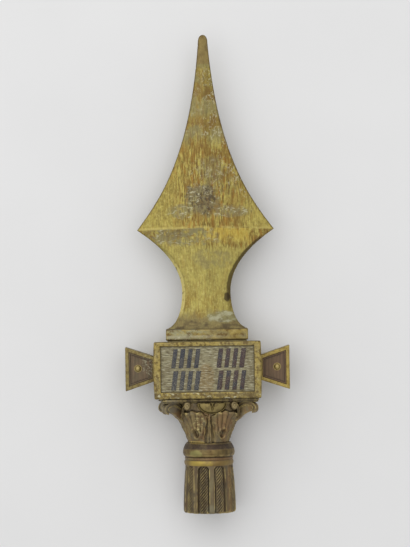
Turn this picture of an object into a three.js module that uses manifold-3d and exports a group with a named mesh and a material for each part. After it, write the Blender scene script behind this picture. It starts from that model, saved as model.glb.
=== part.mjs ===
// A brass flagstaff finial lying on its back: a spearhead blade on a foot, a framed tablet with two
// dovetail ears, and a leaf capital cast in one with the cable-fluted socket that takes the staff.
// Every piece is drawn in the finial's own frame, with Y along the axis from the socket's mouth to the
// tip, X across and Z towards the front. The group then sets that frame down on its back. Millimetres.
import * as THREE from "three";
import { LoftGeometry } from "three/addons/geometries/LoftGeometry.js";
import { mergeVertices } from "three/addons/utils/BufferGeometryUtils.js";
import Module from "manifold-3d";

const wasm = await Module();
wasm.setup();

// Driving dimensions: heights are measured along the axis from the socket's mouth
const LENGTH = 331.5;
const SEAM = 0.3; // the gap that the three castings keep to each other

// The tablet's sides draw in by the draft towards its back, as a cast block's do
const TABLET = { low: 79.5, high: 119, halfWidth: 37.3, halfDepth: 23, chamfer: 1.2, draft: 1.4 };
const FIELD = { low: 84, high: 115.9, halfWidth: 32.3, depth: 1.6 };
const EAR = {
  reach: 56.9,
  halfHeightIn: 8.7,
  halfHeightOut: 15.3,
  halfDepth: 7.5,
  chamfer: 0.6,
  border: 2.4,
  recess: 1.5,
};
const BOSS = { x: 47.6, radius: 2.3, rise: 1.9 };

const FOOT = { high: 127.3, halfWidth: 28.4, halfDepth: 9.5, chamfer: 0.8 };
const BLADE = {
  rootHalf: 27.6,
  waistY: 150,
  waistHalf: 17,
  shoulderY: 196,
  shoulderHalf: 47.5,
  neckY: 326.5, // where the rounded point starts
  neckHalf: 3.3,
};
// Half thickness of the blade on its ridge line and along its edge
const RIDGE = { root: 7.2, waist: 3.8, shoulder: 6, neck: 1.9 };
const EDGE = { half: 0.9, bevelWidth: 2.8, bevelRise: 1.5 };

const BORE = { radius: 13, depth: 66, sides: 48 };
const SHAFT = { mouthRadius: 18.3, topRadius: 16.5, high: 33, lip: 1.6, lipInset: 0.9 };
const FLUTE = { count: 9, depth: 1.7, cableDrop: 0.25 };
const NECK = { radius: 15.9, low: 48.4 };
const CAPITAL = {
  bellRadius: 14.8, // at the neck, under the leaves
  spread: 1.6,
  flareX: 13.5,
  flareZ: 2.4,
  throat: 0.8, // how far the bell draws in again above the leaves
  abacusLow: 76.4,
  abacusHalfWidth: 32.3,
  abacusHalfDepth: 19,
  abacusHollow: 1.4,
  high: TABLET.low - SEAM,
};
const LEAF = { count: 6, rise: 1.2, spanLow: 0.66, spanHigh: 0.92, high: 68.6, lip: 1.4 };
const EYE = { y: 54.8, radius: 2.3, depth: 2 };
const VOLUTE = { x: 26.2, y: 74.5, z: 12.4, width: 5.6, steps: 16 };
const HELIX = { x: 16.4, y: 74.4, radius: 2.7, eyeRadius: 0.8, front: 19 };
const LUNETTE = { halfWidth: 10.2, drop: 7.4, front: 20, bulge: 6, notch: 1.6 };
const SOCKET_TURN = THREE.MathUtils.degToRad(6); // the socket casting sits turned on the axis

const SIDES = 96; // points round the capital, a whole number for each of its leaves

// Solids

// A closed geometry as a solid: the vertices are welded and the triangles that the weld flattens dropped.
function solid(geometry) {
  const bare = new THREE.BufferGeometry();
  bare.setAttribute("position", geometry.attributes.position);
  bare.setIndex(geometry.index);
  const welded = mergeVertices(bare, 1e-4);
  const index = welded.index.array;
  const kept = [];
  for (let i = 0; i < index.length; i += 3) {
    const [a, b, c] = index.slice(i, i + 3);
    if (a !== b && b !== c && c !== a) kept.push(a, b, c);
  }
  const vertProperties = welded.attributes.position.array;
  return new wasm.Manifold(new wasm.Mesh({ numProp: 3, vertProperties, triVerts: new Uint32Array(kept) }));
}

function mesh(name, made, material) {
  const { vertProperties, triVerts } = made.getMesh();
  const geometry = new THREE.BufferGeometry();
  geometry.setAttribute("position", new THREE.BufferAttribute(vertProperties, 3));
  geometry.setIndex(new THREE.BufferAttribute(triVerts, 1));
  geometry.computeVertexNormals();
  const shown = new THREE.Mesh(geometry, material);
  shown.name = name;
  return shown;
}

function outline(...points) {
  return new THREE.Shape(points.map(([x, y]) => new THREE.Vector2(x, y)));
}

// A slab of a front-view outline, as deep behind the axis as before it, with chamfered front and back edges.
// The outline is that of the front face; the slab is wider by the chamfer in between.
function slab(shape, halfDepth, chamfer) {
  const depth = 2 * (halfDepth - chamfer);
  const bevel = { bevelEnabled: chamfer > 0, bevelThickness: chamfer, bevelSize: chamfer, bevelSegments: 1 };
  const made = new THREE.ExtrudeGeometry(shape, { depth, ...bevel });
  return made.translate(0, 0, chamfer - halfDepth);
}

function boxBetween(low, high) {
  const size = high.map((value, i) => value - low[i]);
  const middle = high.map((value, i) => (value + low[i]) / 2);
  return new THREE.BoxGeometry(...size).translate(...middle);
}

const mix = THREE.MathUtils.lerp;
const ramp = THREE.MathUtils.smoothstep; // ramp(value, from, to) runs smoothly from 0 to 1

// Spearhead blade

// The right-hand outline of the blade from its root to its point, as (half width, height).
function bladeOutline() {
  const { rootHalf, waistY, waistHalf, shoulderY, shoulderHalf, neckY, neckHalf } = BLADE;
  const path = new THREE.Path();
  path.moveTo(rootHalf, FOOT.high);
  path.bezierCurveTo(rootHalf - 8.1, FOOT.high + 3.2, waistHalf, waistY - 8, waistHalf, waistY);
  path.bezierCurveTo(waistHalf, waistY + 27, shoulderHalf - 6.5, shoulderY - 5.9, shoulderHalf, shoulderY);
  path.bezierCurveTo(shoulderHalf - 12.7, shoulderY + 17.7, neckHalf + 6.5, neckY - 84.4, neckHalf, neckY);
  path.absellipse(0, neckY, neckHalf, LENGTH - neckY, 0, Math.PI / 2);
  const points = path.getPoints(10);
  return points.filter((p, i) => i === 0 || p.distanceTo(points[i - 1]) > 0.05);
}

function ridgeHalf(y) {
  if (y < BLADE.waistY) {
    const t = (BLADE.waistY - y) / (BLADE.waistY - FOOT.high);
    return mix(RIDGE.waist, RIDGE.root, t * t);
  }
  if (y < BLADE.shoulderY) {
    return mix(RIDGE.waist, RIDGE.shoulder, (y - BLADE.waistY) / (BLADE.shoulderY - BLADE.waistY));
  }
  return mix(RIDGE.shoulder, RIDGE.neck, (y - BLADE.shoulderY) / (LENGTH - BLADE.shoulderY));
}

// One section across the blade: a ridge in the middle of each face, falling to bevelled edges.
function bladeSection({ x: half, y }) {
  const lower = ramp(BLADE.shoulderY - y, 0, 20);
  const ridge = ridgeHalf(y) * Math.min(1, half / BLADE.neckHalf);
  const edge = Math.min(EDGE.half, 0.6 * ridge);
  const bevel = Math.min(mix(0.5, EDGE.bevelWidth, lower), 0.4 * half);
  const shoulder = Math.min(edge + mix(0.2, EDGE.bevelRise, lower), ridge);
  const front = [
    [-half, edge],
    [-(half - bevel), shoulder],
    [0, ridge],
    [half - bevel, shoulder],
    [half, edge],
  ];
  const back = front.map(([x, z]) => [-x, -z]);
  return [...front, ...back].map(([x, z]) => new THREE.Vector3(x, y, z));
}

function spearBlade() {
  const points = bladeOutline().filter((p) => p.x > 0.02);
  const sunk = new THREE.Vector2(points[0].x, FOOT.high - 2); // carried down into the foot
  const sections = [sunk, ...points].map(bladeSection);
  const blade = new LoftGeometry(sections, { capStart: true, capEnd: true });
  const { halfWidth, halfDepth, chamfer, high } = FOOT;
  const low = TABLET.high + SEAM;
  const x = halfWidth - chamfer;
  const front = outline([-x, low + chamfer], [x, low + chamfer], [x, high - chamfer], [-x, high - chamfer]);
  return solid(blade).add(solid(slab(front, halfDepth, chamfer)));
}

// Tablet with its ears

function earOutline(side, inset) {
  const slope = (EAR.halfHeightOut - EAR.halfHeightIn) / (EAR.reach - TABLET.halfWidth);
  const middle = (TABLET.low + TABLET.high) / 2;
  const inner = TABLET.halfWidth + (inset > EAR.chamfer ? inset : -TABLET.draft);
  const outer = EAR.reach - inset;
  const skew = inset * Math.hypot(1, slope);
  const half = (x) => EAR.halfHeightIn + slope * (x - TABLET.halfWidth) - skew;
  const corners = [
    [inner, middle - half(inner)],
    [outer, middle - half(outer)],
    [outer, middle + half(outer)],
    [inner, middle + half(inner)],
  ].map(([x, y]) => [side * x, y]);
  return outline(...(side > 0 ? corners : corners.reverse()));
}

// A low dome in the middle of an ear's front, on the floor of its recess.
function boss(side) {
  const { x, radius, rise } = BOSS;
  const profile = new THREE.Path().absellipse(0, 0, radius, rise, 0, Math.PI / 2).getPoints(5);
  const dome = [new THREE.Vector2(0, -1), new THREE.Vector2(radius, -1), ...profile.slice(0, -1)];
  const made = new THREE.LatheGeometry([...dome, new THREE.Vector2(0, rise)], 16);
  made.rotateX(Math.PI / 2);
  return made.translate(side * x, (TABLET.low + TABLET.high) / 2, EAR.halfDepth - EAR.recess);
}

// The tablet's block, chamfered round its front and back.
function tabletBlock() {
  const { low, high, halfWidth, halfDepth, chamfer, draft } = TABLET;
  const section = (z, inset) => {
    const x = halfWidth - inset;
    const corners = [[-x, low + inset], [x, low + inset], [x, high - inset], [-x, high - inset]];
    return corners.map(([cornerX, y]) => new THREE.Vector3(cornerX, y, z));
  };
  const sections = [
    section(-halfDepth, draft + chamfer),
    section(chamfer - halfDepth, draft),
    section(halfDepth - chamfer, 0),
    section(halfDepth, chamfer),
  ];
  return solid(new LoftGeometry(sections, { capStart: true, capEnd: true }));
}

// The front is sunk to a field within a frame, on the ears too. The back, on which the finial lies, is plain.
function tablet() {
  const { halfDepth } = TABLET;
  const field = boxBetween(
    [-FIELD.halfWidth, FIELD.low, halfDepth - FIELD.depth],
    [FIELD.halfWidth, FIELD.high, halfDepth + 1],
  );
  let made = tabletBlock().subtract(solid(field));
  for (const side of [-1, 1]) {
    const recess = slab(earOutline(side, EAR.border), EAR.recess, 0).translate(0, 0, EAR.halfDepth);
    made = made.add(solid(slab(earOutline(side, EAR.chamfer), EAR.halfDepth, EAR.chamfer)));
    made = made.subtract(solid(recess)).add(solid(boss(side)));
  }
  return made;
}

// Socket with its capital

// How far the surface of the shaft lies under its fillets, by the angle from the middle of a flute:
// each flute holds a round cable that rises almost to the fillets again.
const FLUTE_STEPS = [
  [-14.3, 0],
  [-12, FLUTE.depth],
  [-9, 0.62 * FLUTE.depth],
  [-5, FLUTE.cableDrop + 0.2],
  [0, FLUTE.cableDrop],
  [5, FLUTE.cableDrop + 0.2],
  [9, 0.62 * FLUTE.depth],
  [12, FLUTE.depth],
  [14.3, 0],
];

function shaftSection(radius, y) {
  const points = [];
  for (let flute = 0; flute < FLUTE.count; flute++) {
    const middle = ((flute + 0.5) * 360) / FLUTE.count;
    for (const [angle, drop] of FLUTE_STEPS) {
      const a = THREE.MathUtils.degToRad(middle + angle);
      const r = radius - drop;
      points.push(new THREE.Vector3(Math.sin(a) * r, y, Math.cos(a) * r));
    }
  }
  return points;
}

function shaft() {
  const { mouthRadius, topRadius, high, lip, lipInset } = SHAFT;
  const at = (y) => mouthRadius - (mouthRadius - topRadius) * (y / high) ** 2;
  const sections = [
    shaftSection(at(0) - lipInset, 0),
    shaftSection(at(lip), lip),
    shaftSection(at(0.5 * high), 0.5 * high),
    shaftSection(at(high), high),
  ];
  return solid(new LoftGeometry(sections, { capStart: true, capEnd: true }));
}

// The rings between the shaft and the bell, turned from a profile of radius and height.
function rings() {
  const path = new THREE.Path();
  path.moveTo(0, SHAFT.high - 1);
  path.lineTo(16.5, SHAFT.high - 1);
  path.lineTo(16.6, 33.2);
  path.quadraticCurveTo(17.2, 34.8, 16.6, 36.3);
  path.lineTo(16.5, 38.3);
  path.lineTo(17.2, 38.9);
  path.quadraticCurveTo(18.6, 41.4, 17.7, 44.2);
  path.lineTo(NECK.radius, 47.8);
  path.lineTo(NECK.radius, NECK.low + 1);
  path.lineTo(0, NECK.low + 1);
  return solid(new THREE.LatheGeometry(path.getPoints(4), 48));
}

// The bell flares from a round neck to a rounded oblong as far as the leaves' tops, then draws in a little.
function bellRadius(angle, y) {
  const f = (Math.min(y, LEAF.high) - NECK.low) / (CAPITAL.abacusLow - NECK.low);
  const round = CAPITAL.bellRadius + CAPITAL.spread * f;
  const a = round + CAPITAL.flareX * f * f;
  const b = round + CAPITAL.flareZ * f * f;
  const n = mix(2, 4, f);
  const full = (Math.abs(Math.sin(angle) / a) ** n + Math.abs(Math.cos(angle) / b) ** n) ** (-1 / n);
  return full - CAPITAL.throat * ramp(y, LEAF.high, LEAF.high + 2);
}

// The leaves round the bell: each stands off it between two edges, is grooved along its midrib and lobes,
// has a drilled eye at its foot and rolls outwards at its top. The first gap is in the middle of the front.
function leafRelief(angle, y) {
  const pitch = (2 * Math.PI) / LEAF.count;
  const fromMiddle = angle - (Math.floor(angle / pitch) + 0.5) * pitch;
  const across = Math.abs(fromMiddle) / (pitch / 2);
  const climb = (y - NECK.low) / (LEAF.high - NECK.low);
  const span = mix(LEAF.spanLow, LEAF.spanHigh, climb);
  const body = 1 - ramp(across, span - 0.12, span + 0.06);
  const lobes = 0.3 * Math.cos((across / span) * Math.PI * 4);
  const lip = LEAF.lip * Math.exp(-(((y - LEAF.high) / 2.4) ** 2));
  const under = ramp(y, NECK.low, NECK.low + 2) * (1 - ramp(y, LEAF.high + 0.5, LEAF.high + 2));
  const fromEye = Math.hypot(fromMiddle * NECK.radius * 1.1, y - EYE.y);
  const eye = EYE.depth * (1 - ramp(fromEye, 0.5 * EYE.radius, EYE.radius + 0.5));
  return under * body * (LEAF.rise + lobes + lip) - eye;
}

function bell() {
  const heights = [0, 2, 4.6, 5.8, 6.9, 8, 9.2, 11, 13.5, 16, 17.5, 19, 20.5, 21.5, 22.5, 29];
  const sections = heights.map((above) => {
    const y = NECK.low + above;
    const points = [];
    for (let i = 0; i < SIDES; i++) {
      const angle = (i / SIDES) * 2 * Math.PI;
      const r = bellRadius(angle, y) + leafRelief(angle, y);
      points.push(new THREE.Vector3(Math.sin(angle) * r, y, Math.cos(angle) * r));
    }
    return points;
  });
  return solid(new LoftGeometry(sections, { capStart: true, capEnd: true }));
}

// A plate with cut corners and slightly hollow sides.
function abacus() {
  const { abacusHalfWidth: w, abacusHalfDepth: d, abacusHollow: hollow, abacusLow, high } = CAPITAL;
  const cut = 3;
  const shape = new THREE.Shape();
  shape.moveTo(w - cut, -d);
  shape.lineTo(w, -d + cut);
  shape.quadraticCurveTo(w - hollow, 0, w, d - cut);
  shape.lineTo(w - cut, d);
  shape.quadraticCurveTo(0, d - 2 * hollow, -w + cut, d);
  shape.lineTo(-w, d - cut);
  shape.quadraticCurveTo(-w + hollow, 0, -w, -d + cut);
  shape.lineTo(-w + cut, -d);
  shape.quadraticCurveTo(0, -d + 2 * hollow, w - cut, -d);
  const depth = high - abacusLow;
  const plate = new THREE.ExtrudeGeometry(shape, { depth, bevelEnabled: false, curveSegments: 8 });
  return solid(plate.rotateX(-Math.PI / 2).translate(0, abacusLow, 0));
}

// A corner scroll: a stem that rises from between two leaves, arches outwards under the abacus and curls
// down to a blunt end. It is a band of even depth along a curve, set on the diagonal of its corner.
function volute(sideX, sideZ) {
  const { x, y, z, width, steps } = VOLUTE;
  const points = [
    [-9.2, -9.2],
    [-7.2, -2.7],
    [-2.3, 1.4],
    [2.6, 0.9],
    [5.3, -1],
    [5.1, -3.1],
    [3.4, -3.5],
  ];
  const curve = new THREE.SplineCurve(points.map(([u, v]) => new THREE.Vector2(u, v)));
  const outside = [];
  const inside = [];
  for (let i = 0; i <= steps; i++) {
    const at = curve.getPoint(i / steps);
    const along = curve.getTangent(i / steps);
    const half = mix(1.1, 1.7, ramp(i / steps, 0, 0.7));
    outside.push([at.x - along.y * half, at.y + along.x * half]);
    inside.push([at.x + along.y * half, at.y - along.x * half]);
  }
  const band = slab(outline(...inside, ...outside.reverse()), width / 2, 0);
  const corner = Math.atan2(z, x);
  const turn = sideX > 0 ? -sideZ * corner : sideZ * corner - Math.PI;
  return solid(band.rotateY(turn).translate(sideX * x, y, sideZ * z));
}

// A small inner scroll on the front or back, with a pricked eye.
function helix(sideX, face) {
  const { x, y, radius, eyeRadius, front } = HELIX;
  const disc = new THREE.CylinderGeometry(radius, radius, 8, 20).rotateX(Math.PI / 2);
  const eye = new THREE.CylinderGeometry(eyeRadius, eyeRadius, 2, 10).rotateX(Math.PI / 2);
  const place = (part, z) => solid(part.translate(sideX * x, y, face * z));
  return place(disc, front - 4).subtract(place(eye, front));
}

// The half-round fleuron under the middle of the abacus, nicked in the middle of its top.
function lunette(face) {
  const { halfWidth, drop, front, bulge, notch } = LUNETTE;
  const ball = new THREE.SphereGeometry(1, 20, 12).scale(halfWidth, drop, bulge);
  const top = CAPITAL.abacusLow + 0.8;
  const whole = solid(ball.translate(0, top, face * (front - bulge)));
  const above = boxBetween([-20, top, -40], [20, top + 20, 40]);
  const nick = new THREE.CylinderGeometry(notch, 0, 4, 4).translate(0, top - 2, face * (front + 0.2));
  return whole.subtract(solid(above)).subtract(solid(nick));
}

function socket() {
  let made = shaft().add(rings()).add(bell()).add(abacus());
  for (const face of [-1, 1]) {
    made = made.add(lunette(face));
    for (const sideX of [-1, 1]) {
      made = made.add(helix(sideX, face));
      made = made.add(volute(sideX, face));
    }
  }
  const hole = new THREE.CylinderGeometry(BORE.radius, BORE.radius, BORE.depth + 1, BORE.sides);
  return made.subtract(solid(hole.translate(0, (BORE.depth - 1) / 2, 0)));
}

// Assembly

const brass = new THREE.MeshStandardMaterial({ color: 0x9c8540, roughness: 0.45, metalness: 1 });
const framedBrass = new THREE.MeshStandardMaterial({ color: 0x93803f, roughness: 0.5, metalness: 1 });
const darkBrass = new THREE.MeshStandardMaterial({ color: 0x6b5836, roughness: 0.55, metalness: 1 });

const socketMesh = mesh("socket", socket(), darkBrass);
socketMesh.rotation.y = SOCKET_TURN;

const finial = new THREE.Group();
finial.add(mesh("spear_blade", spearBlade(), brass));
finial.add(mesh("tablet", tablet(), framedBrass));
finial.add(socketMesh);
finial.position.set(0, -LENGTH / 2, TABLET.halfDepth); // on its back, centred over the origin

const part = new THREE.Group();
part.add(finial);
export default part;
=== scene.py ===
# %% [markdown]
# # A brass flagstaff finial
# The finial is three brass castings on one axis: a spearhead blade on its foot, a framed tablet with two
# dovetail ears, and a leaf capital in one with the fluted socket that takes the staff. It lies on the
# tablet's back and is seen from straight above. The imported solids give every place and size. Each piece
# here stands for one of them, or is a part of one, and adds the fine relief and the finish.

# %% Load the frame
import math

import bmesh
import bpy
import numpy as np
from mathutils import Matrix, Vector, geometry, noise


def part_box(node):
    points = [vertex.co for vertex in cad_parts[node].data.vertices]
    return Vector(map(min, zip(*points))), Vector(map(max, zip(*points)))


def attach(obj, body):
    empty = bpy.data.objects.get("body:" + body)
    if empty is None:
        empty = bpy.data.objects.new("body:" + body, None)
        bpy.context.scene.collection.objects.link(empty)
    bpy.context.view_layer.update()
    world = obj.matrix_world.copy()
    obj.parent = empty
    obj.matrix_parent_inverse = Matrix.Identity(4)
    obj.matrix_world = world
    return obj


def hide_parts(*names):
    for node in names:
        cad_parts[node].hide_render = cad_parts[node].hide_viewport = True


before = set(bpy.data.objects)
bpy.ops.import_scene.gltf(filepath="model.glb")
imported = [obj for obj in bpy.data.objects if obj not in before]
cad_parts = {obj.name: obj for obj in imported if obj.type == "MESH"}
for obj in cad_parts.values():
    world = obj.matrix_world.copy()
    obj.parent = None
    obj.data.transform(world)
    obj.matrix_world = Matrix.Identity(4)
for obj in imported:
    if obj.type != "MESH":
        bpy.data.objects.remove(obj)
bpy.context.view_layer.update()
print("solids:", sorted(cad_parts))

# %% [markdown]
# ## The finial's own frame
# A turner would measure this object along its axis, from the socket's mouth to the tip. So every piece is
# drawn in millimetres with Y along the axis from the mouth, X across and Z towards the front, and one
# matrix sets it down in the frame. The heights at which one casting ends and the next begins come from the
# solids.

# %% Axis frame
MM = 0.001
blade_low, blade_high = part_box("spear_blade")
tablet_low, tablet_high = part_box("tablet")
socket_low, socket_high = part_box("socket")
MOUTH = socket_low.y
AXIS_Z = (tablet_low.z + tablet_high.z) / 2
PLACE = Matrix.Translation((0, MOUTH, AXIS_Z)) @ Matrix.Diagonal((MM, MM, MM, 1))


def axial(y):
    """A frame height in metres as millimetres along the axis from the socket's mouth."""
    return (y - MOUTH) / MM


LENGTH = axial(blade_high.y)
FOOT_LOW = axial(blade_low.y)
TABLET_LOW, TABLET_HIGH = axial(tablet_low.y), axial(tablet_high.y)
TABLET_MID = (TABLET_LOW + TABLET_HIGH) / 2
TABLET_HALF_DEPTH = (tablet_high.z - tablet_low.z) / 2 / MM
CAPITAL_HIGH = axial(socket_high.y)
print(f"length {LENGTH:.1f} mm, tablet {TABLET_LOW:.1f} to {TABLET_HIGH:.1f} mm along the axis")

# %% [markdown]
# ## Camera
# The photograph was taken from straight above and from well back, so the view is almost parallel. The
# finial leans a little in the picture, which is a roll of the camera. The lens follows from the picture's
# height: so many pixels of so many millimetres at the level of the axis.

# %% Camera
PICTURE_HEIGHT = 547  # pixels
PIXEL = 0.6955 * MM  # metres to a pixel at the level of the axis
CAMERA_ABOVE = 1.6  # metres over the axis
CAMERA_ROLL = math.radians(-0.87)
VIEW_CENTRE = (-0.75 * MM, -0.24 * MM)

camera = bpy.data.objects.new("camera", bpy.data.cameras.new("camera"))
bpy.context.scene.collection.objects.link(camera)
camera.location = (*VIEW_CENTRE, AXIS_Z + CAMERA_ABOVE)
camera.rotation_euler = (0, 0, CAMERA_ROLL)
camera.data.sensor_width = 36
camera.data.lens = camera.data.sensor_width * CAMERA_ABOVE / (PICTURE_HEIGHT * PIXEL)
camera.data.clip_start = 0.05
bpy.context.scene.camera = camera
print(f"lens {camera.data.lens:.1f} mm")

# %% [markdown]
# ## Light
# The photograph's light is soft: the shadow falls short and blurred to the right. Several small lamps would
# make several hard shadows, so one wide lamp to the upper left is the key and a dim even sky fills the
# rest. The standard view transform is used because the photograph's pale greys are plain values.

# %% Light
LAMP_PLACE = Vector((-0.3, 0.55, 1.5))  # metres
LAMP_SIZE, LAMP_WATTS = 2.6, 21
SKY_STRENGTH = 0.62

lamp = bpy.data.objects.new("soft_box", bpy.data.lights.new("soft_box", "AREA"))
lamp.data.size = LAMP_SIZE
lamp.data.energy = LAMP_WATTS
lamp.location = LAMP_PLACE
lamp.rotation_euler = (-LAMP_PLACE).to_track_quat("-Z", "Y").to_euler()
bpy.context.scene.collection.objects.link(lamp)
sky = bpy.data.worlds.new("sky")
sky.use_nodes = True
background = sky.node_tree.nodes["Background"]
background.inputs["Color"].default_value = (1, 1, 1, 1)
background.inputs["Strength"].default_value = SKY_STRENGTH
bpy.context.scene.world = sky
bpy.context.scene.view_settings.view_transform = "Standard"
print(f"a lamp {LAMP_SIZE} m wide, {LAMP_PLACE.length:.2f} m away")

# %% [markdown]
# ## Shader arithmetic
# Patina is layers: each layer is a colour and a mask that says where it lies. Masks are sums and products
# of noises and places. Linking hundreds of nodes by hand would hide the layers, so a small class wraps a
# node's output socket and lets plain arithmetic add the nodes.

# %% A field of values over a surface
class Field:
    """An output socket of a material's nodes. Arithmetic on fields of values adds Math nodes."""

    def __init__(self, tree, socket):
        self.tree = tree
        self.socket = socket

    def node(self, kind, settings, inputs, output=0):
        """Any other node: its settings are made first, then the values or links of its inputs."""
        made = self.tree.nodes.new("ShaderNode" + kind)
        for name, value in settings.items():
            setattr(made, name, value)
        for name, value in inputs.items():
            if isinstance(value, Field):
                self.tree.links.new(value.socket, made.inputs[name])
            else:
                made.inputs[name].default_value = value
        return Field(self.tree, made.outputs[output])

    def maths(self, operation, first, second):
        return self.node("Math", {"operation": operation}, {0: first, 1: second})

    def __add__(self, other):
        return self.maths("ADD", self, other)

    def __sub__(self, other):
        return self.maths("SUBTRACT", self, other)

    def __rsub__(self, other):
        return self.maths("SUBTRACT", other, self)

    def __mul__(self, other):
        return self.maths("MULTIPLY", self, other)

    def __truediv__(self, other):
        return self.maths("DIVIDE", self, other)

    def __abs__(self):
        return self.maths("ABSOLUTE", self, 0)

    def most(self, other):
        return self.maths("MAXIMUM", self, other)

    def least(self, other):
        return self.maths("MINIMUM", self, other)

    def step(self, low, high):
        """Runs smoothly from 0 to 1 as this value goes from low to high, or back where low is the larger."""
        limits = {"Value": self, "From Min": low, "From Max": high}
        return self.node("MapRange", {"interpolation_type": "SMOOTHSTEP"}, limits)

    def mix(self, first, second):
        """The first colour where this mask is 0, the second where it is 1."""
        return self.node("Mix", {"data_type": "RGBA"}, {0: self, 6: first, 7: second}, 2)

    __radd__ = __add__
    __rmul__ = __mul__


def paint(red, green, blue):
    """A colour as the eye reads it off a chart, 0 to 255, made linear for the shader."""
    return tuple(((c / 255 + 0.055) / 1.055) ** 2.4 for c in (red, green, blue)) + (1,)


print(f"a chart's middle grey is {paint(128, 128, 128)[0]:.3f} of full light")

# %% A material and its fields
class Finish:
    """A new material: places in millimetres on the axis frame, noises, and a tone laid up in layers."""

    def __init__(self, name):
        self.material = bpy.data.materials.new(name)
        self.material.use_nodes = True
        self.tone = None
        tree = self.material.node_tree
        self.shader = tree.nodes["Principled BSDF"]
        self.start = Field(tree, tree.nodes.new("ShaderNodeTexCoord").outputs["Object"])
        mapped = {"Location": (0, -MOUTH / MM, -AXIS_Z / MM), "Scale": (1 / MM,) * 3}
        self.place = self.start.node("Mapping", {}, {"Vector": self.start, **mapped})
        self.x, self.y, self.z = (self.place.node("SeparateXYZ", {}, {0: self.place}, i) for i in range(3))

    def noise(self, size, detail=3, rough=0.55, stretch=(1, 1, 1), shift=0):
        """Cloudy noise around 0.5 with clouds about that many millimetres wide, stretched on each axis."""
        scale = tuple(1 / (size * s) for s in stretch)
        moved = {"Vector": self.place, "Scale": scale, "Location": (shift, 2 * shift, 3 * shift)}
        vector = self.place.node("Mapping", {}, moved)
        inputs = {"Vector": vector, "Scale": 1, "Detail": detail, "Roughness": rough}
        return vector.node("TexNoise", {}, inputs)

    def attribute(self, name):
        return self.place.node("Attribute", {"attribute_name": name}, {}, "Fac")

    def spot(self, x, y, across, along, ragged=0.5, grain=4):
        """A soft-edged patch round a point of the front, with an edge made ragged by noise."""
        dx = (self.x - x) / across
        dy = (self.y - y) / along
        away = (dx * dx + dy * dy) + (self.noise(grain, 4, 0.6) - 0.5) * (4 * ragged)
        return away.step(1.4, 0.5)

    def band(self, low, high, soft):
        """The stretch of the axis between two heights, with soft ends."""
        return self.y.step(low - soft, low + soft) * self.y.step(high + soft, high - soft)

    def lay(self, colour, mask):
        """Lays a colour over the tone so far, as far as the mask goes towards 1."""
        self.tone = mask.mix(self.tone, paint(*colour))

    def done(self, roughness, metallic, bump=None, depth=0.0002):
        """Feeds the shader with the tone and with these values, and the bump in metres of depth."""
        tree = self.material.node_tree
        for name, field in (("Base Color", self.tone), ("Roughness", roughness), ("Metallic", metallic)):
            if isinstance(field, Field):
                tree.links.new(field.socket, self.shader.inputs[name])
            else:
                self.shader.inputs[name].default_value = field
        if bump is not None:
            raised = self.place.node("Bump", {}, {"Height": bump, "Distance": depth, "Strength": 1.0})
            tree.links.new(raised.socket, self.shader.inputs["Normal"])
        self.note("finished")
        return self.material

    def note(self, step):
        print(f"{self.material.name}, {step}: {len(self.material.node_tree.nodes)} nodes")

# %% [markdown]
# ## Floor
# The finial lies on a pale, matt table, almost without marks. One large square is enough for it: it only
# has to catch the shadow.

# %% Floor
FLOOR_HALF = 3  # metres
table = Finish("pale_table")
table.tone = table.noise(90, 2).mix(paint(220, 220, 220), paint(226, 226, 226))
bm = bmesh.new()
bmesh.ops.create_grid(bm, x_segments=1, y_segments=1, size=FLOOR_HALF)
floor_mesh = bpy.data.meshes.new("floor")
bm.to_mesh(floor_mesh)
bm.free()
floor_mesh.materials.append(table.done(0.85, 0.0))
floor = bpy.data.objects.new("floor", floor_mesh)
bpy.context.scene.collection.objects.link(floor)

# %% [markdown]
# ## From bmesh to piece
# Every piece goes the same way: doubles are merged, faces turned outwards, hard edges marked, and the wear
# of its surface measured. Hands and cloths rub what stands out, and dirt stays in what lies deep. So wear
# is how far a point stands out of a smoothed copy of the mesh, and the finishes read it as an attribute. A
# shader's own measure of edges would depend on the renderer, and this one travels with the mesh.

# %% Make a piece
SHARP = math.radians(40)


def wear_of(bm, rounds):
    """How far each vertex stands out of the smoothed surface, in millimetres, hollows below zero."""
    bm.verts.index_update()
    places = np.array([v.co for v in bm.verts])
    normals = np.array([v.normal for v in bm.verts])
    ends = np.array([(e.verts[0].index, e.verts[1].index) for e in bm.edges])
    count = np.bincount(ends.ravel(), minlength=len(places))[:, None]
    smooth = places.copy()
    for _ in range(rounds):
        total = np.zeros_like(smooth)
        np.add.at(total, ends[:, 0], smooth[ends[:, 1]])
        np.add.at(total, ends[:, 1], smooth[ends[:, 0]])
        smooth = 0.5 * smooth + 0.5 * total / np.maximum(count, 1)
    return ((places - smooth) * normals).sum(1)


def piece(name, bm, finish, rounds, keep_sharp=None):
    """A bmesh drawn in millimetres on the axis, as a finished piece that rides in the frame.

    More rounds of smoothing let the wear reach over wider forms.
    """
    bmesh.ops.remove_doubles(bm, verts=bm.verts, dist=1e-4)
    bmesh.ops.recalc_face_normals(bm, faces=bm.faces)
    bm.normal_update()
    for edge in bm.edges:
        edge.smooth = edge.calc_face_angle(0) < SHARP and not (keep_sharp and keep_sharp(edge))
    wear = wear_of(bm, rounds)
    bmesh.ops.transform(bm, matrix=PLACE, verts=bm.verts)
    mesh = bpy.data.meshes.new(name)
    for face in bm.faces:
        face.smooth = True
    bm.to_mesh(mesh)
    bm.free()
    mesh.attributes.new("wear", "FLOAT", "POINT").data.foreach_set("value", wear.astype(np.float32))
    mesh.materials.append(finish)
    made = bpy.data.objects.new(name, mesh)
    bpy.context.scene.collection.objects.link(made)
    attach(made, "root")
    print(f"{name}: {len(mesh.polygons)} faces, wear {wear.min():.2f} to {wear.max():.2f} mm")
    return made

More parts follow.
